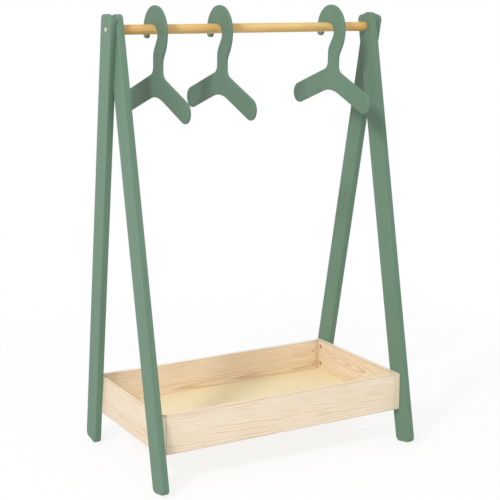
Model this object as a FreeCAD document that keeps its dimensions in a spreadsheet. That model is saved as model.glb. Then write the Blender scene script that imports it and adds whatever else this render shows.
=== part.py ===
import FreeCAD, Part
import math
import os

# A child's clothes rack: two trestles of crossed legs, a round rail, a shallow tray and three hangers.
# Millimetres, +Z up, +X along the rail, the front towards -Y, the origin on the floor under the middle.
doc = FreeCAD.newDocument("kids_clothes_rack")
sheet = doc.addObject("Spreadsheet::Sheet", "size")

SIZES = {
    # Trestles and rail
    "frame_span": 588,
    "leg_length": 955,
    "leg_width": 50,
    "leg_thickness": 15,
    "leg_splay": 11.05,
    "leg_end_round": 11,
    "leg_edge_round": 2,
    "pivot_drop": 28,
    "pivot_offset": 2.1,
    "crossing_housing": 2,
    "rail_diameter": 20,
    # Tray
    "tray_depth": 328,
    "tray_height": 82,
    "tray_lift": 75,
    "panel_thickness": 12,
    "panel_edge_round": 1,
    "bottom_thickness": 4,
    "bottom_lift": 8,
    "groove_depth": 5,
    # Fasteners
    "rail_bolt_diameter": 6,
    "rail_bolt_head_diameter": 10.5,
    "rail_bolt_head_height": 3.3,
    "rail_bolt_recess": 1.1,
    "rail_insert_diameter": 10,
    "rail_insert_length": 24,
    "tray_bolt_diameter": 5,
    "tray_bolt_head_diameter": 9.5,
    "tray_bolt_head_height": 2.8,
    "tray_bolt_socket": 3,
    "tray_bolt_recess": 3.6,
    "tray_bolt_inset": 9,
    "tray_bolt_drop": 13.5,
    "tray_bolt_spacing": 42,
    "leg_insert_diameter": 8,
    "leg_insert_length": 11,
    "corner_bolt_diameter": 4,
    "corner_bolt_head_diameter": 8,
    "corner_bolt_head_height": 2,
    "corner_bolt_socket": 2.5,
    "corner_bolt_spacing": 34,
    "corner_nut_diameter": 7,
    "corner_nut_length": 10,
    "corner_nut_inset": 16,
    "corner_nut_slot": 1.2,
    # Clearances on one side, and how far a cutting tool runs past the surface
    "bolt_play": 0.3,
    "bore_play": 0.1,
    "groove_play": 0.3,
    "hook_play": 0.3,
    "cut_overrun": 5,
    # Hangers
    "hanger_thickness": 6,
    "hanger_edge_round": 2,
    "hanger_span": 300,
    "hanger_tilt": 1.65,
    "hook_throat_radius": 21.8,
    "hook_head_radius": 52,
    "hook_head_flat": 2.1,
    "hook_head_forward": 10.1,
    "hook_head_drop": 4.3,
    "hook_tip_length": 8.1,
    "neck_width": 39,
    "neck_forward": 21.4,
    "neck_slant": 33,
    "neck_front_round": 75,
    "neck_rear_round": 14,
    "neck_foot_round": 30,
    "arm_width": 44.2,
    "arm_droop": 20,
    "arm_forward": 13.4,
    "arm_crown_drop": 82.2,
    "arm_root_round": 18,
    "arm_crotch_round": 95,
}
SOCKET_DEPTH_SHARE = 0.6
HEAD_ROUND_SHARE = 0.75
TIP_OUTER_SHARE = 0.38
TIP_INNER_SHARE = 0.9
FLAT_SHARE = 0.001
HANGER_LEFT_SHARE = -0.372
HANGER_MIDDLE_SHARE = -0.1235
HANGER_RIGHT_SHARE = 0.3417
HEX_SIDES = 6
QUARTER_TURN = 90

for row, (alias, value) in enumerate(SIZES.items(), start=1):
    sheet.set(f"A{row}", alias)
    sheet.set(f"B{row}", str(value))
    sheet.setAlias(f"B{row}", alias)
doc.recompute()

# Heights and places that several pieces share, as formulas over the sheet
HALF_SPAN = "(size.frame_span / 2)"
HALF_DEPTH = "(size.tray_depth / 2)"
TRAY_TOP = "(size.tray_lift + size.tray_height)"
PIVOT = (
    "((size.leg_length - size.pivot_drop - size.leg_end_round) * cos(size.leg_splay)"
    " + (size.leg_width / 2 - size.pivot_offset - size.leg_end_round) * sin(size.leg_splay)"
    " + size.leg_end_round)"
)
CROSSING_STEP = "(size.leg_thickness - size.crossing_housing)"
HEAD_SEAT = f"({HALF_SPAN} + size.leg_thickness + {CROSSING_STEP} - size.rail_bolt_recess)"
LEAN = f"atan({CROSSING_STEP} / ({PIVOT} - {TRAY_TOP}))"
PANEL_FACE = f"({HALF_SPAN} - size.panel_thickness)"
BOLT_SEAT = f"({PANEL_FACE} + size.tray_bolt_recess)"
BOLT_REACH = f"({HALF_DEPTH} - size.panel_thickness - size.tray_bolt_inset)"
UPPER_BOLT = f"({TRAY_TOP} - size.tray_bolt_drop)"
BOLT_HEIGHTS = (UPPER_BOLT, f"({UPPER_BOLT} - size.tray_bolt_spacing)")
PANEL_REACH = f"({HALF_DEPTH} - size.panel_thickness)"
CORNER_REACH = f"({HALF_DEPTH} - size.panel_thickness / 2)"
CORNER_MIDDLE = "(size.tray_lift + size.tray_height / 2)"
CORNER_HEIGHTS = tuple(f"({CORNER_MIDDLE} {sign} size.corner_bolt_spacing / 2)" for sign in "+-")
CORNER_BOLT_LENGTH = "(size.panel_thickness + size.corner_nut_inset + size.corner_nut_diameter)"
NUT_PLACE = f"({PANEL_FACE} - size.corner_nut_inset)"
SIDES = {"left": -1, "right": 1}
ENDS = {"front": -1, "rear": 1}
pieces = []


def bind(thing, **formulas):
    for prop, formula in formulas.items():
        thing.setExpression(prop, str(formula))
    return thing


def place(thing, x=0, y=0, z=0, roll=0, pitch=0):
    for axis, formula in {"x": x, "y": y, "z": z}.items():
        thing.setExpression(f"Placement.Base.{axis}", str(formula))
    thing.setExpression("Placement.Rotation.Roll", str(roll))
    thing.setExpression("Placement.Rotation.Pitch", str(pitch))
    return thing


def finish(thing, label):
    thing.Label = label
    pieces.append(thing)


def box(name, length, width, height, **where):
    thing = doc.addObject("Part::Box", name)
    return place(bind(thing, Length=length, Width=width, Height=height), **where)


def rod(name, diameter, length, side, **where):
    """A round bar along X that starts at its place and runs to that side."""
    thing = doc.addObject("Part::Cylinder", name)
    bind(thing, Radius=f"({diameter}) / 2", Height=length)
    return place(thing, pitch=side * QUARTER_TURN, **where)


def cross_rod(name, diameter, length, end, **where):
    """A round bar along Y that starts at its place and runs to that end."""
    thing = doc.addObject("Part::Cylinder", name)
    bind(thing, Radius=f"({diameter}) / 2", Height=length)
    return place(thing, roll=-end * QUARTER_TURN, **where)


def group(name, things):
    thing = doc.addObject("Part::Compound", name)
    thing.Links = things
    return thing


def cut(name, base, tools):
    thing = doc.addObject("Part::Cut", name)
    thing.Base = base
    thing.Tool = group(name + "_tools", tools)
    return thing


def board(name, length, width, height, **where):
    """A body that starts as a plain block, with its corner at the given place."""
    body = doc.addObject("PartDesign::Body", name)
    block = body.newObject("PartDesign::AdditiveBox", name + "_block")
    place(bind(block, Length=length, Width=width, Height=height), **where)
    return body


def fillet(body, name, wanted, radius):
    """Rounds those edges of the body's last feature that the test picks."""
    doc.recompute()
    base = body.Tip
    names = [f"Edge{i}" for i, edge in enumerate(base.Shape.Edges, start=1) if wanted(edge)]
    thing = body.newObject("PartDesign::Fillet", name)
    thing.Base = (base, names)
    bind(thing, Radius=radius)


def runs_along_x(edge):
    return not lies_across_x(edge)


def lies_across_x(edge):
    return edge.BoundBox.XLength < edge.Length * FLAT_SHARE


def any_edge(edge):
    return True


def stands_clear_of_seat(edge):
    return edge.BoundBox.ZMin > edge.Length * FLAT_SHARE


# Legs: flat boards with rounded ends. The front legs stand upright against the rail and the tray. The rear
# legs cross outside them and lean in to the tray, so they are housed where they meet a front leg and a panel.
# The crossing's bolt passes a little to the inner side of each leg's centre line.
def leg_block(name, end, side, step, pitch=0):
    body = board(
        name, "size.leg_thickness", "size.leg_width", "size.leg_length", x="-size.leg_thickness / 2",
        y=f"{end} * size.pivot_offset - size.leg_width / 2", z="size.pivot_drop - size.leg_length",
    )
    fillet(body, name + "_ends", runs_along_x, "size.leg_end_round")
    middle = f"{side} * ({HALF_SPAN} + size.leg_thickness / 2 + {step})"
    return place(body, x=middle, z=PIVOT, roll=f"{end} * size.leg_splay", pitch=pitch)


def leg(label, end, side):
    rear = end > 0
    blank = leg_block(
        label + "_blank", end, side, CROSSING_STEP if rear else 0, f"{side} * {LEAN}" if rear else 0
    )
    fillet(blank, label + "_edges", lies_across_x, "size.leg_edge_round")
    start = f"{side} * ({HALF_SPAN} - size.cut_overrun)"
    tools = [rod(
        label + "_pivot_hole", "size.rail_bolt_diameter + 2 * size.bolt_play",
        "2 * (size.leg_thickness + size.cut_overrun)", side, x=start, z=PIVOT,
    )]
    for number, height in enumerate(BOLT_HEIGHTS):
        tools.append(rod(
            f"{label}_insert_bore_{number}", "size.leg_insert_diameter + 2 * size.bore_play",
            "size.leg_insert_length + size.bore_play + size.cut_overrun", side,
            x=start, y=f"{end} * {BOLT_REACH}", z=height,
        ))
    if rear:
        tools.append(leg_block(label + "_crossing", -end, side, 0))
        tools.append(end_panel_block(label + "_panel_seat", side))
        tools.append(rod(
            label + "_head_seat", "size.rail_bolt_head_diameter + 2 * size.bolt_play",
            "size.cut_overrun", side, x=f"{side} * {HEAD_SEAT}", z=PIVOT,
        ))
    finish(cut(label, blank, tools), label)


# Tray: the end panels run the full depth and cover the ends of the long panels, and a thin bottom sits in
# grooves
def end_panel_block(name, side):
    inner = HALF_SPAN if side < 0 else f"-{PANEL_FACE}"
    return board(
        name, "size.panel_thickness", "size.tray_depth", "size.tray_height",
        x=f"-{inner}", y=f"-{HALF_DEPTH}", z="size.tray_lift",
    )


def bottom_room(name, play):
    """The bottom board's own block, or with play the room for it in the grooves."""
    overhang = "2 * (size.groove_depth - size.panel_thickness)"
    length = f"(size.frame_span + {overhang} - 2 * size.groove_play + 2 * {play})"
    width = f"(size.tray_depth + {overhang} - 2 * size.groove_play + 2 * {play})"
    return box(
        name, length, width, f"size.bottom_thickness + {play}",
        x=f"-{length} / 2", y=f"-{width} / 2", z="size.tray_lift + size.bottom_lift",
    )


def corner_bolt_holes(name, corners):
    return [
        rod(
            f"{name}_bolt_hole_{end + 1}{side + 1}{number}",
            "size.corner_bolt_diameter + 2 * size.bolt_play",
            f"{CORNER_BOLT_LENGTH} + 2 * size.cut_overrun", -side,
            x=f"{side} * ({HALF_SPAN} + size.cut_overrun)", y=f"{end} * {CORNER_REACH}", z=height,
        )
        for end, side in corners
        for number, height in enumerate(CORNER_HEIGHTS)
    ]


def nut_bores(name, end):
    return [
        cross_rod(
            f"{name}_nut_bore_{side + 1}{number}", "size.corner_nut_diameter + 2 * size.bore_play",
            "size.cut_overrun + size.bolt_play + size.corner_nut_length + size.bore_play", end,
            x=f"{side} * {NUT_PLACE}", y=f"{end} * ({PANEL_REACH} - size.cut_overrun)", z=height,
        )
        for side in SIDES.values()
        for number, height in enumerate(CORNER_HEIGHTS)
    ]


def countersink(name, end, side, height):
    thing = doc.addObject("Part::Cone", name)
    play = "size.bolt_play + size.bore_play"
    bind(
        thing, Radius1=f"size.corner_bolt_head_diameter / 2 + {play}",
        Radius2=f"size.corner_bolt_diameter / 2 + {play}", Height="size.corner_bolt_head_height",
    )
    spot = {"x": f"{side} * {HALF_SPAN}", "y": f"{end} * {CORNER_REACH}", "z": height}
    return place(thing, pitch=-side * QUARTER_TURN, **spot)


def long_panel(label, end):
    front_face = HALF_DEPTH if end < 0 else f"(size.panel_thickness - {HALF_DEPTH})"
    blank = board(
        label + "_blank", f"2 * {PANEL_FACE}", "size.panel_thickness", "size.tray_height",
        x=f"-{PANEL_FACE}", y=f"-{front_face}", z="size.tray_lift",
    )
    fillet(blank, label + "_edges", runs_along_x, "size.panel_edge_round")
    tools = corner_bolt_holes(label, [(end, side) for side in SIDES.values()]) + nut_bores(label, end)
    tools.append(bottom_room(label + "_groove", "size.groove_play"))
    finish(cut(label, blank, tools), label)


def end_panel(label, side):
    blank = end_panel_block(label + "_blank", side)
    fillet(blank, label + "_edges", any_edge, "size.panel_edge_round")
    tools = corner_bolt_holes(label, [(end, side) for end in ENDS.values()])
    tools.append(bottom_room(label + "_groove", "size.groove_play"))
    for end_name, end in ENDS.items():
        for number, height in enumerate(CORNER_HEIGHTS):
            tools.append(countersink(f"{label}_{end_name}_sink_{number}", end, side, height))
        for number, height in enumerate(BOLT_HEIGHTS):
            inside = {
                "x": f"{side} * ({PANEL_FACE} - size.cut_overrun)", "y": f"{end} * {BOLT_REACH}", "z": height,
            }
            tools.append(rod(
                f"{label}_{end_name}_hole_{number}", "size.tray_bolt_diameter + 2 * size.bolt_play",
                "size.panel_thickness + 2 * size.cut_overrun", side, **inside,
            ))
            tools.append(rod(
                f"{label}_{end_name}_seat_{number}", "size.tray_bolt_head_diameter + 2 * size.bolt_play",
                "size.cut_overrun + size.tray_bolt_recess", side, **inside,
            ))
    finish(cut(label, blank, tools), label)


# Fasteners: bolts with a domed head, plain at the crossings and with a hexagon socket where they are sunk in
# the tray, countersunk bolts under the legs, and the sleeves and slotted barrel nuts that they screw into
def bolt(name, kind, length, side, countersunk=False, plain=False, **where):
    body = doc.addObject("PartDesign::Body", name)
    shank_radius = f"size.{kind}_diameter / 2"
    head_radius = f"size.{kind}_head_diameter / 2"
    head_height = f"size.{kind}_head_height"
    top = 0 if countersunk else head_height
    if countersunk:
        head = body.newObject("PartDesign::AdditiveCone", name + "_head")
        place(bind(head, Radius1=shank_radius, Radius2=head_radius, Height=head_height), z=f"-{head_height}")
    else:
        head = body.newObject("PartDesign::AdditiveCylinder", name + "_head")
        bind(head, Radius=head_radius, Height=head_height)
        fillet(body, name + "_crown", stands_clear_of_seat, f"{head_height} * {HEAD_ROUND_SHARE}")
    shank = body.newObject("PartDesign::AdditiveCylinder", name + "_shank")
    place(bind(shank, Radius=shank_radius, Height=length), z=f"-({length})")
    if not plain:
        socket = body.newObject("PartDesign::SubtractivePrism", name + "_socket")
        socket.Polygon = HEX_SIDES
        bind(socket, Circumradius=f"size.{kind}_socket / sqrt(3)", Height=head_height)
        place(socket, z=f"{top} - {head_height} * {SOCKET_DEPTH_SHARE}")
    return place(body, pitch=side * QUARTER_TURN, **where)


def barrel_nut(name, end, side, height):
    face = f"({PANEL_REACH} + size.bolt_play)"
    barrel = cross_rod(
        name + "_barrel", "size.corner_nut_diameter", "size.corner_nut_length", end,
        x=f"{side} * {NUT_PLACE}", y=f"{end} * {face}", z=height,
    )
    thread = rod(
        name + "_thread", "size.corner_bolt_diameter + 2 * size.bore_play",
        "2 * size.corner_nut_diameter", side,
        x=f"{side} * ({NUT_PLACE} - size.corner_nut_diameter)", y=f"{end} * {CORNER_REACH}", z=height,
    )
    slot = box(
        name + "_slot", "size.corner_nut_diameter", "2 * size.corner_nut_slot", "size.corner_nut_slot",
        x=f"{side} * {NUT_PLACE} - size.corner_nut_diameter / 2",
        y=f"{end} * {face} - size.corner_nut_slot", z=f"{height} - size.corner_nut_slot / 2",
    )
    return cut(name, barrel, [thread, slot])


def sleeve(name, diameter, length, bolt_diameter, side, **where):
    outside = rod(name + "_outside", diameter, length, side, **where)
    thread = rod(name + "_thread", f"{bolt_diameter} + 2 * size.bore_play", length, side, **where)
    return cut(name, outside, [thread])


def corner_fasteners(end_name, end, side_name, side):
    corner = f"{end_name}_{side_name}"
    bolts, sleeves, corner_bolts, nuts = [], [], [], []
    for number, height in enumerate(BOLT_HEIGHTS):
        spot = {"y": f"{end} * {BOLT_REACH}", "z": height}
        bolts.append(bolt(
            f"tray_bolt_{corner}_{number}", "tray_bolt",
            f"({HALF_SPAN} - {BOLT_SEAT} + size.leg_insert_length)", -side, x=f"{side} * {BOLT_SEAT}", **spot,
        ))
        sleeves.append(sleeve(
            f"leg_insert_{corner}_{number}", "size.leg_insert_diameter", "size.leg_insert_length",
            "size.tray_bolt_diameter", side, x=f"{side} * {HALF_SPAN}", **spot,
        ))
    for number, height in enumerate(CORNER_HEIGHTS):
        corner_bolts.append(bolt(
            f"corner_bolt_{corner}_{number}", "corner_bolt", CORNER_BOLT_LENGTH, side, countersunk=True,
            x=f"{side} * ({HALF_SPAN} - size.bolt_play)", y=f"{end} * {CORNER_REACH}", z=height,
        ))
        nuts.append(barrel_nut(f"corner_nut_{corner}_{number}", end, side, height))
    finish(group(f"tray_bolts_{corner}", bolts), f"tray_bolts_{corner}")
    finish(group(f"leg_inserts_{corner}", sleeves), f"leg_inserts_{corner}")
    finish(group(f"corner_bolts_{corner}", corner_bolts), f"corner_bolts_{corner}")
    finish(group(f"corner_nuts_{corner}", nuts), f"corner_nuts_{corner}")


for side_name, side in SIDES.items():
    end_panel(f"tray_panel_{side_name}", side)
    for end_name, end in ENDS.items():
        leg(f"leg_{end_name}_{side_name}", end, side)
        corner_fasteners(end_name, end, side_name, side)
for end_name, end in ENDS.items():
    long_panel(f"tray_panel_{end_name}", end)
finish(bottom_room("tray_bottom", 0), "tray_bottom")


# Rail: a round bar between the front legs, with a bolt through both legs into a sleeve in each end
rail_bores = []
for side_name, side in SIDES.items():
    end_face = f"{side} * {HALF_SPAN}"
    rail_bores.append(rod(
        f"rail_bore_{side_name}", "size.rail_insert_diameter + 2 * size.bore_play",
        "size.rail_insert_length + size.bore_play + size.cut_overrun", -side,
        x=f"{side} * ({HALF_SPAN} + size.cut_overrun)", z=PIVOT,
    ))
    finish(bolt(
        f"rail_bolt_{side_name}", "rail_bolt", f"({HEAD_SEAT} - {HALF_SPAN} + size.rail_insert_length)", side,
        plain=True, x=f"{side} * {HEAD_SEAT}", z=PIVOT,
    ), f"rail_bolt_{side_name}")
    finish(sleeve(
        f"rail_insert_{side_name}", "size.rail_insert_diameter", "size.rail_insert_length",
        "size.rail_bolt_diameter", -side, x=end_face, z=PIVOT,
    ), f"rail_insert_{side_name}")
rail_bar = rod("rail_bar", "size.rail_diameter", "size.frame_span", 1, x=f"-{HALF_SPAN}", z=PIVOT)
finish(cut("rail", rail_bar, rail_bores), "rail")


# Hangers: flat plates cut to one outline, each hung on the rail by a wide hook that opens to the rear
def rounded_outline(corners):
    """Lines and arcs around a polygon whose corners are given as (across, up, radius)."""
    points = [FreeCAD.Vector(across, up, 0) for across, up, radius in corners]
    bends = []
    for i, (across, up, radius) in enumerate(corners):
        back = (points[i - 1] - points[i]).normalize()
        ahead = (points[(i + 1) % len(points)] - points[i]).normalize()
        half_angle = back.getAngle(ahead) / 2
        inward = (back + ahead).normalize()
        reach = radius / math.tan(half_angle)
        middle = points[i] + inward * (radius / math.sin(half_angle) - radius)
        bends.append((points[i] + back * reach, middle, points[i] + ahead * reach))
    outline = []
    for i, (start, middle, stop) in enumerate(bends):
        before = bends[i - 1][2]
        if start.distanceToPoint(before) > (stop - start).Length * FLAT_SHARE:
            outline.append(Part.LineSegment(before, start))
        outline.append(Part.Arc(start, middle, stop))
    return outline


def hanger_corners():
    """The outline about the rail's centre: the first number runs to the rear, the second upwards."""
    span = {alias: float(sheet.get(alias)) for alias in SIZES}
    throat = span["hook_throat_radius"]
    throat_height = span["rail_diameter"] / 2 + span["hook_play"] - throat
    throat_top = throat_height + throat
    head_rear = span["hook_head_radius"] - span["hook_head_forward"] + span["hook_head_flat"]
    head_front = -span["hook_head_radius"] - span["hook_head_forward"]
    head_top = span["hook_head_radius"] - span["hook_head_drop"]
    tip_bottom = throat_height - span["hook_tip_length"]
    neck_front = -span["neck_forward"] - span["neck_width"] / 2
    neck_rear = -span["neck_forward"] + span["neck_width"] / 2
    slant = math.radians(span["neck_slant"])
    front_bend = -span["hook_head_drop"] - span["neck_front_round"] * math.tan(slant / 2)
    front_foot = front_bend - (neck_front - head_front) / math.tan(slant)
    rear_bend = throat_height - span["neck_rear_round"] * math.tan(slant / 2)
    rear_foot = rear_bend - (neck_rear + throat) / math.tan(slant)
    droop = math.radians(span["arm_droop"])
    half_arm = span["arm_width"] / 2
    arm_middle = -span["arm_forward"]

    def shoulder(across):
        return -span["arm_crown_drop"] - abs(across - arm_middle) * math.tan(droop)

    def arm_end(direction, upper):
        reach = span["hanger_span"] / 2 - half_arm
        across = arm_middle + direction * (reach + half_arm * (math.cos(droop) + upper * math.sin(droop)))
        axis_height = shoulder(arm_middle + reach) - half_arm / math.cos(droop)
        return across, axis_height + half_arm * (upper * math.cos(droop) - math.sin(droop)), half_arm

    return [
        (head_rear, tip_bottom, TIP_OUTER_SHARE * (head_rear - throat)),
        (head_rear, head_top, span["hook_head_radius"]),
        (head_front, head_top, span["hook_head_radius"]),
        (head_front, front_bend, span["neck_front_round"]),
        (neck_front, front_foot, span["neck_foot_round"]),
        (neck_front, shoulder(neck_front), span["arm_root_round"]),
        arm_end(-1, 1),
        arm_end(-1, -1),
        (arm_middle, -span["arm_crown_drop"] - span["arm_width"] / math.cos(droop), span["arm_crotch_round"]),
        arm_end(1, -1),
        arm_end(1, 1),
        (neck_rear, shoulder(neck_rear), span["arm_root_round"]),
        (neck_rear, rear_foot, span["neck_foot_round"]),
        (-throat, rear_bend, span["neck_rear_round"]),
        (-throat, throat_top, throat),
        (throat, throat_top, throat),
        (throat, tip_bottom, TIP_INNER_SHARE * span["hook_tip_length"]),
    ]


HANGERS = {
    "hanger_left": HANGER_LEFT_SHARE,
    "hanger_middle": HANGER_MIDDLE_SHARE,
    "hanger_right": HANGER_RIGHT_SHARE,
}
for label, share in HANGERS.items():
    hanger = doc.addObject("PartDesign::Body", label)
    sketch = hanger.newObject("Sketcher::SketchObject", label + "_outline")
    side_plane = next(plane for plane in hanger.Origin.OriginFeatures if plane.Role == "YZ_Plane")
    sketch.AttachmentSupport = [(side_plane, "")]
    sketch.MapMode = "FlatFace"
    sketch.addGeometry(rounded_outline(hanger_corners()))
    plate = hanger.newObject("PartDesign::Pad", label + "_plate")
    plate.Profile = sketch
    plate.SideType = "Symmetric"
    bind(plate, Length="size.hanger_thickness")
    fillet(hanger, label + "_edges", lies_across_x, "size.hanger_edge_round")
    place(hanger, x=f"{share} * size.frame_span", z=PIVOT, roll="size.hanger_tilt")
    finish(hanger, label)


# Everything has to be sound before any file is written
doc.recompute()
failed = [thing.Name for thing in doc.Objects if {"Invalid", "Error"} & set(thing.State)]
unsound = [piece.Label for piece in pieces if piece.Shape.isNull() or not piece.Shape.isValid()]
if failed or unsound:
    raise RuntimeError(f"failed objects {failed}, unsound shapes {unsound}")
os.makedirs("parts", exist_ok=True)
for piece in pieces:
    piece.Shape.exportStep(f"parts/{piece.Label}.step")
    print(piece.Label, len(piece.Shape.Solids), round(piece.Shape.Volume, 1))
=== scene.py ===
import math

import bpy
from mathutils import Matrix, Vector


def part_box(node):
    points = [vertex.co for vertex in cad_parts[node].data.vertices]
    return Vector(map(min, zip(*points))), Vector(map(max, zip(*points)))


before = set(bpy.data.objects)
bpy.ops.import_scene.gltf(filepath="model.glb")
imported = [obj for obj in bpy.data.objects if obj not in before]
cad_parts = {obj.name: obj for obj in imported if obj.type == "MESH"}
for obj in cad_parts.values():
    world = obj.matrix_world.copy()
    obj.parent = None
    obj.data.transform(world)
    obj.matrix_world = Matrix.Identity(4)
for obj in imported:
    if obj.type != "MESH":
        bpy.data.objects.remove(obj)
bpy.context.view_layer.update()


# Legs
# Four planed slats with rounded ends and arrises, sprayed with satin sage-green paint. The two of a
# trestle cross at the rail, and the rear one leans in a little to lie against the tray's end panel.
class Wire:
    """One socket of a material's tree. Sums with other wires or with plain numbers add Math nodes."""

    def __init__(self, tree, socket=None):
        self.tree = tree
        self.socket = socket

    def node(self, kind, settings=None, sockets=None, output=0):
        """Adds a node: first its settings, then a number, colour or wire for each of its sockets."""
        made = self.tree.nodes.new("ShaderNode" + kind)
        for name, value in (settings or {}).items():
            setattr(made, name, value)
        for name, value in (sockets or {}).items():
            if isinstance(value, Wire):
                self.tree.links.new(value.socket, made.inputs[name])
            else:
                made.inputs[name].default_value = value
        return Wire(self.tree, made.outputs[output] if made.outputs else None)

    def math(self, operation, first, second=0.0):
        """Adds a Math node on one or two values."""
        return self.node("Math", {"operation": operation}, {0: first, 1: second})

    def __add__(self, other):
        return self.math("ADD", self, other)

    def __radd__(self, other):
        return self.math("ADD", other, self)

    def __sub__(self, other):
        return self.math("SUBTRACT", self, other)

    def __rsub__(self, other):
        return self.math("SUBTRACT", other, self)

    def __mul__(self, other):
        return self.math("MULTIPLY", self, other)

    def __rmul__(self, other):
        return self.math("MULTIPLY", other, self)

    def __truediv__(self, other):
        return self.math("DIVIDE", self, other)

    def __rtruediv__(self, other):
        return self.math("DIVIDE", other, self)

    def __pow__(self, other):
        return self.math("POWER", self, other)

    def __rpow__(self, other):
        return self.math("POWER", other, self)

    def __neg__(self):
        return self.math("MULTIPLY", -1.0, self)

    def __abs__(self):
        return self.math("ABSOLUTE", self)


def colour(red, green, blue):
    """A colour as the sockets take it, quite opaque."""
    return (red, green, blue, 1.0)


def new_material(name):
    """An empty material, and a wire that has its tree but no socket yet."""
    material = bpy.data.materials.new(name)
    material.use_nodes = True
    material.node_tree.nodes.clear()
    return material, Wire(material.node_tree)


def own_place(start, centre=(0, 0, 0), turn=(0, 0, 0)):
    """Coordinates in metres from the piece's centre, along its own three axes."""
    spot = start.node("TexCoord", output="Object")
    placing = {"Vector": spot, "Location": centre, "Rotation": turn}
    return start.node("Mapping", {"vector_type": "TEXTURE"}, placing)


def parts_of(vector):
    """The three parts of a vector, each as a wire of its own."""
    split = vector.node("SeparateXYZ", sockets={"Vector": vector})
    return [Wire(vector.tree, socket) for socket in split.socket.node.outputs]


def own_facing(start, turn):
    """How far the surface faces along each of the piece's own three axes, from 0 to 1."""
    normal = start.node("TexCoord", output="Normal")
    turning = {"Vector": normal, "Rotation": turn}
    turned = start.node("Mapping", {"vector_type": "TEXTURE"}, turning)
    return [abs(axis) for axis in parts_of(turned)]


def noise(spot, waves, detail=2.0):
    """Cloudy noise from 0 to 1, with its own number of waves in a metre along each axis."""
    scaled = spot.node("VectorMath", {"operation": "MULTIPLY"}, {0: spot, 1: waves})
    return spot.node("TexNoise", sockets={"Vector": scaled, "Scale": 1.0, "Detail": detail})


def swing(cloudy):
    """Noise moved down to swing about nothing, from -0.5 to 0.5."""
    return cloudy - 0.5


def ease(wire, low, high):
    """Rises smoothly from 0 at low to 1 at high."""
    settings = {"interpolation_type": "SMOOTHSTEP"}
    return wire.node("MapRange", settings, {"Value": wire, "From Min": low, "From Max": high})


# The places of a Mix node's sockets for colours, because their names stand for other sockets too.
MIX_SHARE, MIX_FIRST, MIX_SECOND, MIX_RESULT = 0, 6, 7, 2


def blend(start, first, second, share):
    """A colour that goes from the first to the second as the share goes from 0 to 1."""
    sockets = {MIX_SHARE: share, MIX_FIRST: first, MIX_SECOND: second}
    return start.node("Mix", {"data_type": "RGBA"}, sockets, output=MIX_RESULT)


def larger(first, second):
    """The larger of two wires at each spot."""
    return first.math("MAXIMUM", first, second)


def arris(facing):
    """0 on flat faces, and up to about 0.4 where a rounded edge or corner turns between them."""
    return 1 - larger(larger(facing[0], facing[1]), facing[2])


def finish_with(start, base, rough, height, depth, **constants):
    """The shader that ends a material: base colour, roughness, and a bump of a depth in metres."""
    bump = start.node("Bump", sockets={"Height": height, "Distance": depth})
    sockets = {"Base Color": base, "Roughness": rough, "Normal": bump, **constants}
    shader = start.node("BsdfPrincipled", sockets=sockets)
    start.node("OutputMaterial", sockets={"Surface": shader})


def dress(node, material):
    """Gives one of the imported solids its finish."""
    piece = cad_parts[node]
    piece.data.materials.clear()
    piece.data.materials.append(material)


SAGE = colour(0.150, 0.250, 0.173)
SAGE_DEEP = colour(0.138, 0.236, 0.160)
SAGE_THIN = colour(0.195, 0.300, 0.216)
# Black, mixed into the paint as painted shade.
SHADE_BLACK = colour(0, 0, 0)
PAINT_ROUGHNESS = 0.54
PAINT_RELIEF = 0.00005
PAINT_SHINE = {"Specular IOR Level": 0.26}


def satin_paint(name, centre, turn, grain, painted_shade=0.0, crease_shade=0.0):
    """Sprayed paint on wood: faint clouds, wood lines that show through, orange peel, thin arrises.

    The grain is the number of wood lines in a metre along each axis. The next argument is a share of
    black painted all over as shade, and the last paints shade on one side at the top, where the other
    leg lies against it; its sign says which side.
    """
    material, start = new_material(name)
    spot = own_place(start, centre, turn)
    facing = own_facing(start, turn)
    cloud = noise(spot, waves=(9, 9, 4), detail=3.0)
    lines = noise(spot, waves=grain, detail=3.0)
    peel = noise(spot, waves=(620, 620, 620), detail=1.0)
    ragged = 0.12 * noise(spot, waves=(55, 55, 55))
    rubbed = ease(arris(facing) + ragged, low=0.16, high=0.42)
    thinned = 0.16 * rubbed
    base = blend(start, SAGE_DEEP, SAGE, ease(0.5 * cloud + 0.5 * lines, low=0.34, high=0.62))
    base = blend(start, base, SAGE_THIN, thinned)
    # Painted shade: black mixed in all over, by the given share.
    base = blend(start, base, SHADE_BLACK, painted_shade)
    # Painted shade: black on one side at the top, where the other leg lies against it.
    if crease_shade:
        across, _, up = parts_of(spot)
        one_side = ease(math.copysign(1, crease_shade) * across, low=-0.006, high=0.007)
        upper = ease(up, low=-0.30, high=-0.12)
        base = blend(start, base, SHADE_BLACK, abs(crease_shade) * one_side * upper)
    uneven = 0.10 * swing(peel) + 0.10 * swing(cloud)
    polished = 0.06 * rubbed
    rough = PAINT_ROUGHNESS + uneven - polished
    finish_with(start, base, rough, 0.5 * peel + 0.5 * lines, PAINT_RELIEF, **PAINT_SHINE)
    return material


CORNERS = [f"{end}_{side}" for end in ("front", "rear") for side in ("left", "right")]
LEG_THICKNESS = 0.015
PIVOT_HEIGHT = 0.9123
SPLAY = math.radians(11.05)
LEAN = math.radians(0.99)
LEG_GRAIN = (190, 190, 5)
# Painted shade at the top of each rear leg, on the side where the front leg lies against it.
CREASE_SHADES = {"rear_left": 0.30, "rear_right": 0.12}
for corner in CORNERS:
    low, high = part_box(f"leg_{corner}")
    out = -1 if corner.endswith("left") else 1
    outer_face = low.x if out < 0 else high.x
    centre = (outer_face - out * LEG_THICKNESS / 2, 0, PIVOT_HEIGHT)
    turn = (SPLAY, out * LEAN, 0) if corner.startswith("rear") else (-SPLAY, 0, 0)
    crease_shade = -out * CREASE_SHADES.get(corner, 0.0)
    paint = satin_paint(f"sage_paint_leg_{corner}", centre, turn, LEG_GRAIN, crease_shade=crease_shade)
    dress(f"leg_{corner}", paint)


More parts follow.
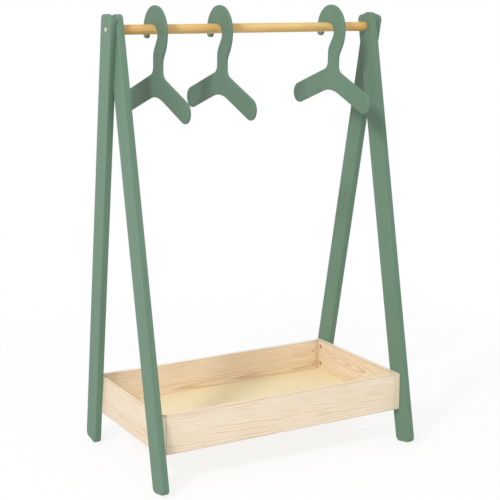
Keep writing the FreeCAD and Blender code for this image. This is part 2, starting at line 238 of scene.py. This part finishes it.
# Rail
# A turned hardwood rod, oiled to a golden amber, with its long fibres along the length. It is drilled
# at both ends for the sleeves, and the hangers slide along it.
HONEY = colour(0.760, 0.475, 0.160)
HONEY_PALE = colour(0.845, 0.590, 0.250)
HONEY_DARK = colour(0.580, 0.315, 0.090)
# The amber of the painted shade near the rail's ends.
END_SHADE_AMBER = colour(0.760, 0.400, 0.095)
ROD_ROUGHNESS = 0.42
ROD_RELIEF = 0.00008


def oiled_rod(name, centre):
    """Straight-grained rod: long streaks in two widths, short dark pores, and painted shade in amber
    near both ends, where the rail meets the legs.
    """
    material, start = new_material(name)
    spot = own_place(start, centre)
    along = parts_of(spot)[0]
    broad = noise(spot, waves=(5, 150, 150), detail=3.0)
    fine = noise(spot, waves=(16, 900, 900), detail=3.0)
    slow = noise(spot, waves=(7, 20, 20))
    pores = ease(noise(spot, waves=(70, 1900, 1900), detail=1.0), low=0.62, high=0.74)
    paler = ease(0.6 * broad + 0.4 * slow, low=0.38, high=0.66)
    darker = 0.34 * ease(fine, low=0.48, high=0.72) + 0.28 * pores
    # Painted shade, in amber, near both ends where the rail meets the legs.
    end_shade = 0.60 * ease(abs(along), low=0.22, high=0.29)
    base = blend(start, HONEY, HONEY_PALE, paler)
    base = blend(start, base, HONEY_DARK, darker)
    base = blend(start, base, END_SHADE_AMBER, end_shade)
    uneven = 0.16 * swing(fine) + 0.10 * pores
    finish_with(start, base, ROD_ROUGHNESS + uneven, fine - 0.6 * pores, ROD_RELIEF)
    return material


rail_low, rail_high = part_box("rail")
dress("rail", oiled_rod("oiled_rail", (rail_low + rail_high) / 2))


# Tray panels
# Four boards of pale pine with a clear matt lacquer. The end panels cover the ends of the long ones,
# and two bolts through each corner pull them together.
LATE_TAN = colour(0.625, 0.425, 0.240)
HEART_TAN = colour(0.470, 0.300, 0.150)
END_CREAM = colour(0.965, 0.835, 0.625)
PINE_ROUGHNESS = 0.56
PINE_RELIEF = 0.00008
WAVER = 0.0046
RING_JITTER = 0.7
FAINT_RING, RING_SPREAD, HEART_RING = 0.16, 0.40, 0.60
FAINT_PATCH = 0.30
# The rim and joint bands place dark lines; the lip and corner bands place painted shade.
RIM_BAND = (0.0030, 0.0014)
LIP_SHADE_BAND = (0.0044, 0.0020)
JOINT_BAND = (0.0026, 0.0008)
CORNER_SHADE_BAND = (0.018, 0.0)


def length(first, second):
    """The length of two offsets at right angles: the root of their squares' sum."""
    return (first * first + second * second) ** 0.5


def oval(beside, above, half_width, half_height):
    """0 in the middle of an oval and 1 on its outline, with the square of the distance."""
    return (beside / half_width) ** 2 + (above / half_height) ** 2


def near_side(wire, side, band):
    """Rises from 0 to 1 towards a side, over a band given by two distances from it in metres."""
    begins, full = band
    return ease(wire, low=side - begins, high=side - full)


def pine_board(name, centre, half, turn, pale, rose, edge, pith, tilt, slope, sway, ring, bold,
               swirls=(), lens=(), rim=0.26, lip_shade=0.0, joint=0.0, corner=0.0):
    """Solid pine: growth rings round a pith line that runs along the board and leans away from it.

    The ring number is the distance from the pith line over the ring's width, with a slow drift and a
    small waver, and raised by a soft mound at each swirl so that rings close round it. Each ring
    darkens towards its late side, and the first few do so most. Pith is where the line passes the
    board's middle, tilt and slope are its lean, sway is the drift, and bold is how dark rings are.

    A swirl and a lens, which is a dark spindle of grain, give a place along, a height, a half width,
    a half height and a strength. The last four are strengths: of a dark rim line along both long
    edges of a face, of painted shade along one side of the sawn edge, of a dark joint line at both
    ends, and of painted shade in the corner at one end.
    """
    material, start = new_material(name)
    spot = own_place(start, centre, turn)
    facing = own_facing(start, turn)
    along, through, up = parts_of(spot)

    # The growth rings.
    drift = sway * swing(noise(spot, waves=(5, 16, 16), detail=1.0))
    waver = WAVER * swing(noise(spot, waves=(15, 70, 70)))
    level = up + slope * along + waver
    reach = length(through - pith[0] + tilt * along, level - pith[1] + drift)
    for place, height, half_width, half_height, rise in swirls:
        mound = math.e ** -oval(along - place, up - height, half_width, half_height)
        reach = reach + rise * mound
    outwards = start.node("CombineXYZ", sockets={"X": reach})
    rings = reach / ring + RING_JITTER * swing(noise(outwards, waves=(120, 0, 0)))
    within = rings.math("FRACT", rings)
    late = ease(within, low=0.30, high=0.84) * (1 - ease(within, low=0.86, high=1.0))
    number = rings.math("FLOOR", rings)
    chance = start.node("TexWhiteNoise", {"noise_dimensions": "1D"}, {"W": number})
    heart = 1 - ease(rings, low=2.6, high=4.2)

    # The fibres, and the colour of the faces.
    flow = start.node("CombineXYZ", sockets={"X": along, "Y": through, "Z": level})
    patch = ease(noise(flow, waves=(7, 40, 40), detail=1.0), low=0.36, high=0.62)
    streak = 0.30 * ease(noise(flow, waves=(16, 340, 340), detail=3.0), low=0.42, high=0.70)
    fibre = noise(flow, waves=(40, 1100, 1100))
    pores = ease(noise(flow, waves=(60, 1700, 1700), detail=1.0), low=0.64, high=0.76)
    slow = noise(flow, waves=(5, 18, 18))
    patchy = FAINT_PATCH + (1 - FAINT_PATCH) * patch
    ringed = late * larger(patchy * (FAINT_RING + RING_SPREAD * chance), HEART_RING * heart)
    fibrous = 0.08 * ease(fibre, low=0.5, high=0.8)
    porous = 0.08 * pores
    base = blend(start, pale, rose, ease(slow, low=0.35, high=0.65))
    base = blend(start, base, LATE_TAN, bold * (ringed + streak) + fibrous)
    base = blend(start, base, HEART_TAN, porous)
    for place, height, half_width, half_height, dark in lens:
        distance = oval(along - place, up - height, half_width, half_height)
        base = blend(start, base, HEART_TAN, dark * math.e ** -(distance * distance))

    # The sawn edges, the cut ends, the dark lines, and painted shade along one sawn edge and in one
    # corner.
    sawn_edge = ease(facing[2], low=0.75, high=0.95)
    cut_end = ease(facing[0], low=0.75, high=0.95)
    more_at_left = 0.5 - 0.9 * along
    # The lip is painted shade along one side of the sawn edge, and the corner painted shade towards
    # one end; the rim and the joint are dark lines.
    dark_lines_and_shade = (
        (rim, near_side(abs(up), half.z, RIM_BAND) * (1 - sawn_edge)),
        (lip_shade, near_side(-through, half.y, LIP_SHADE_BAND) * sawn_edge),
        (joint, near_side(abs(along), half.x, JOINT_BAND) * more_at_left),
        (corner, near_side(along, half.x, CORNER_SHADE_BAND)),
    )
    edged = 0.5 * sawn_edge
    creamy = 0.85 * cut_end
    # Darker on the rounded arrises.
    darker_arris = 0.80 * ease(arris(facing), low=0.04, high=0.20)
    base = blend(start, base, edge, edged)
    for strength, line in dark_lines_and_shade:
        base = blend(start, base, HEART_TAN, strength * line)
    base = blend(start, base, END_CREAM, creamy)
    base = blend(start, base, HEART_TAN, darker_arris)

    uneven = 0.10 * swing(fibre) + 0.06 * late + 0.10 * cut_end
    raised = 0.6 * fibre - 0.4 * late - 0.5 * pores
    finish_with(start, base, PINE_ROUGHNESS + uneven, raised, PINE_RELIEF)
    return material


BOARDS = {
    "tray_panel_front": {
        "pale": colour(0.985, 0.845, 0.665), "rose": colour(0.975, 0.815, 0.620),
        "edge": colour(0.900, 0.690, 0.410),
        "pith": (0.030, -0.110), "tilt": 0.02, "slope": 0.022, "sway": 0.024,
        "ring": 0.0056, "bold": 0.84,
        "joint": 0.55,
    },
    "tray_panel_rear": {
        "pale": colour(0.910, 0.768, 0.600), "rose": colour(0.886, 0.718, 0.528),
        "edge": colour(0.990, 0.930, 0.860),
        "pith": (0.0041, -0.020), "tilt": 0.028, "slope": 0.0, "sway": 0.006,
        "ring": 0.0046, "bold": 0.9,
        "lens": [(0.070, -0.0205, 0.030, 0.0030, 0.18), (0.236, -0.022, 0.036, 0.0034, 0.20)],
        # The corner paints shade towards the right end.
        "joint": 0.55, "corner": 0.40, "rim": 0.16,
    },
    "tray_panel_left": {
        "pale": colour(0.900, 0.760, 0.595), "rose": colour(0.885, 0.725, 0.550),
        "edge": colour(0.850, 0.650, 0.390),
        "pith": (-0.030, -0.090), "tilt": 0.05, "slope": -0.070, "sway": 0.020,
        "ring": 0.0060, "bold": 0.9,
        "swirls": [(0.062, -0.032, 0.020, 0.008, 0.012)],
        "lens": [(0.062, -0.032, 0.009, 0.0022, 0.30)],
        # The lip paints shade along one side of the top edge.
        "rim": 0.0, "lip_shade": 0.80,
    },
    "tray_panel_right": {
        "pale": colour(0.888, 0.754, 0.590), "rose": colour(0.868, 0.710, 0.524),
        "edge": colour(0.895, 0.765, 0.600),
        "pith": (0.0155, 0.0125), "tilt": 0.074, "slope": 0.0, "sway": 0.006,
        "ring": 0.0046, "bold": 1.0,
    },
}
for board, figure in BOARDS.items():
    low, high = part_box(board)
    half = (high - low) / 2
    quarter = 0
    if half.y > half.x:
        half = half.yxz
        quarter = math.pi / 2
    pine = pine_board(f"pine_{board}", (low + high) / 2, half, (0, 0, quarter), **figure)
    dress(board, pine)


# Tray bottom
# A thin pale-yellow board with a smooth sealed face. It is pushed into grooves that run round inside
# the four panels.
STRAW = colour(0.905, 0.770, 0.490)
STRAW_PALE = colour(0.925, 0.795, 0.530)
STRAW_FLECK = colour(0.760, 0.590, 0.330)
SEAL_ROUGHNESS = 0.46
SEAL_RELIEF = 0.00004


def sealed_board(name, centre):
    """Smooth board: slow clouds, fine flecks along its length, and a little texture in the seal."""
    material, start = new_material(name)
    spot = own_place(start, centre)
    cloud = noise(spot, waves=(6, 9, 9), detail=3.0)
    fleck = noise(spot, waves=(90, 900, 900))
    skin = noise(spot, waves=(500, 500, 500), detail=1.0)
    flecked = 0.14 * ease(fleck, low=0.55, high=0.80)
    base = blend(start, STRAW, STRAW_PALE, ease(cloud, low=0.35, high=0.65))
    base = blend(start, base, STRAW_FLECK, flecked)
    uneven = 0.10 * swing(skin) + 0.08 * swing(cloud)
    finish_with(start, base, SEAL_ROUGHNESS + uneven, 0.5 * skin + 0.5 * fleck, SEAL_RELIEF)
    return material


floor_low, floor_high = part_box("tray_bottom")
dress("tray_bottom", sealed_board("sealed_tray_bottom", (floor_low + floor_high) / 2))


# Bolts, nuts and sleeves
# Turned and plated steel: bright zinc heads at the crossings, darker bolts in the tray's panels, pale
# slotted barrel nuts at its corners, and brassy threaded sleeves in the legs and the rail.
ZINC = colour(0.555, 0.590, 0.565)
ZINC_DULL = colour(0.450, 0.470, 0.455)
BRONZE = colour(0.700, 0.560, 0.400)
BRONZE_DULL = colour(0.540, 0.420, 0.280)
NUT_PALE = colour(0.820, 0.690, 0.520)
NUT_DULL = colour(0.650, 0.530, 0.380)
BRASSY = colour(0.640, 0.560, 0.400)
STEEL_ROUGHNESS = 0.44
STEEL_RELIEF = 0.00002


def plated_steel(name, bright, dull):
    """Plated steel: fine turning marks, cloudy plating and a few dull specks."""
    material, start = new_material(name)
    spot = own_place(start)
    cloud = noise(spot, waves=(240, 240, 240), detail=3.0)
    turned = noise(spot, waves=(300, 2600, 2600))
    specks = ease(noise(spot, waves=(900, 900, 900)), low=0.60, high=0.72)
    dulled = 0.5 * ease(cloud, low=0.40, high=0.70) + 0.35 * specks
    base = blend(start, bright, dull, dulled)
    uneven = 0.16 * cloud + 0.14 * specks
    finish_with(start, base, STEEL_ROUGHNESS + uneven, turned, STEEL_RELIEF, Metallic=1.0)
    return material


zinc = plated_steel("zinc_plate", ZINC, ZINC_DULL)
bronze = plated_steel("dark_plate", BRONZE, BRONZE_DULL)
nut_steel = plated_steel("nut_plate", NUT_PALE, NUT_DULL)
sleeve_steel = plated_steel("sleeve_plate", BRASSY, ZINC_DULL)
for corner in CORNERS:
    dress(f"tray_bolts_{corner}", bronze)
    dress(f"corner_bolts_{corner}", bronze)
    dress(f"corner_nuts_{corner}", nut_steel)
    dress(f"leg_inserts_{corner}", sleeve_steel)
for side in ("left", "right"):
    dress(f"rail_bolt_{side}", zinc)
    dress(f"rail_insert_{side}", sleeve_steel)


# Hangers
# Three flat plates sawn from one board to one outline, with rounded arrises, in the same satin paint
# as the legs. Each has a wide hook that drops over the rail.
PLATE_GRAIN = (150, 150, 26)
UNTURNED = (0, 0, 0)
# Painted shade: each hanger's paint is darkened all over by a share of black, most on the left one.
HANGER_SHADES = {"hanger_left": 0.13, "hanger_middle": 0.09, "hanger_right": 0.03}
for hanger, painted_shade in HANGER_SHADES.items():
    low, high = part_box(hanger)
    centre = (low + high) / 2
    dress(hanger, satin_paint(f"sage_paint_{hanger}", centre, UNTURNED, PLATE_GRAIN, painted_shade))


# Floor and light
# A plain white floor under the rack, an even white surround, and one soft lamp high on the left at
# the front. The floor glows a little, so that it looks white and still keeps a faint shadow.
FLOOR_HALF = 6.0
FLOOR_SEEN = colour(0.95, 0.95, 0.95)
FLOOR_BOUNCE = colour(0.44, 0.44, 0.44)
FLOOR_GLOW = 0.50
SEEN_GLOW_NEAR, SEEN_GLOW_FAR = 0.80, 1.00
SURROUND = 0.78
WHITE = colour(1, 1, 1)
floor_mesh = bpy.data.meshes.new("floor")
floor_signs = ((-1, -1), (1, -1), (1, 1), (-1, 1))
floor_corners = [(x * FLOOR_HALF, y * FLOOR_HALF, 0) for x, y in floor_signs]
floor_mesh.from_pydata(floor_corners, [], [(0, 1, 2, 3)])
floor = bpy.data.objects.new("floor", floor_mesh)
bpy.context.scene.collection.objects.link(floor)


def seen_directly(start):
    """1 on rays from the camera, in mirrors and through glass, and 0 on the rays that carry light."""
    kinds = ("Is Camera Ray", "Is Glossy Ray", "Is Transmission Ray")
    rays = [start.node("LightPath", output=kind) for kind in kinds]
    return rays[0].math("MINIMUM", rays[0] + rays[1] + rays[2], 1.0)


floor_paint, start = new_material("white_floor")
across, away, _ = parts_of(own_place(start))
far = ease(length(across, away), low=0.6, high=1.6)
seen = seen_directly(start)
lit = start.node("BsdfDiffuse", sockets={"Color": blend(start, FLOOR_BOUNCE, FLOOR_SEEN, seen)})
glow = start.node("Emission", sockets={"Color": WHITE, "Strength": 1.0})
seen_glow = SEEN_GLOW_NEAR + (SEEN_GLOW_FAR - SEEN_GLOW_NEAR) * far
glow_share = FLOOR_GLOW + seen * (seen_glow - FLOOR_GLOW)
mixed = start.node("MixShader", sockets={0: glow_share, 1: lit, 2: glow})
start.node("OutputMaterial", sockets={"Surface": mixed})
floor_mesh.materials.append(floor_paint)

world = bpy.data.worlds.new("studio")
world.use_nodes = True
world.node_tree.nodes.clear()
bpy.context.scene.world = world
start = Wire(world.node_tree)
strength = SURROUND + (1 - SURROUND) * seen_directly(start)
sky = start.node("Background", sockets={"Color": WHITE, "Strength": strength})
start.node("OutputWorld", sockets={"Surface": sky})

# The lamp's power is the one at which it alone lights a white surface that faces it to KEY_SHARE.
KEY_TRAVEL = Vector((1.0, 0.62, -0.80)).normalized()
KEY_DISTANCE = 4.2
KEY_WIDTH = 0.80
KEY_SHARE = 0.46
KEY_AIM = Vector((0, 0, 0.5))
key = bpy.data.lights.new("key", "AREA")
key.shape = "DISK"
key.size = KEY_WIDTH
key.energy = KEY_SHARE * math.pi ** 2 * KEY_DISTANCE ** 2
lamp = bpy.data.objects.new("key", key)
lamp.location = KEY_AIM - KEY_DISTANCE * KEY_TRAVEL
lamp.rotation_euler = KEY_TRAVEL.to_track_quat("-Z", "Y").to_euler()
bpy.context.scene.collection.objects.link(lamp)


# Camera
# It stands in front and to the left, a little above the rail, and looks down at the tray. The focal
# length is given in pixels of a square picture.
CAMERA_PLACE = (-1.275706, -2.259105, 0.976818)
CAMERA_YAW = 29.524
CAMERA_PITCH = -11.739
FOCAL_PIXELS = 1220.127
IMAGE_PIXELS = 500
camera = bpy.data.cameras.new("camera")
camera.lens = camera.sensor_width * FOCAL_PIXELS / IMAGE_PIXELS
view = bpy.data.objects.new("camera", camera)
view.location = CAMERA_PLACE
view.rotation_euler = (math.radians(90 + CAMERA_PITCH), 0, math.radians(-CAMERA_YAW))
bpy.context.scene.collection.objects.link(view)
bpy.context.scene.camera = view
bpy.context.scene.view_settings.view_transform = "Standard"
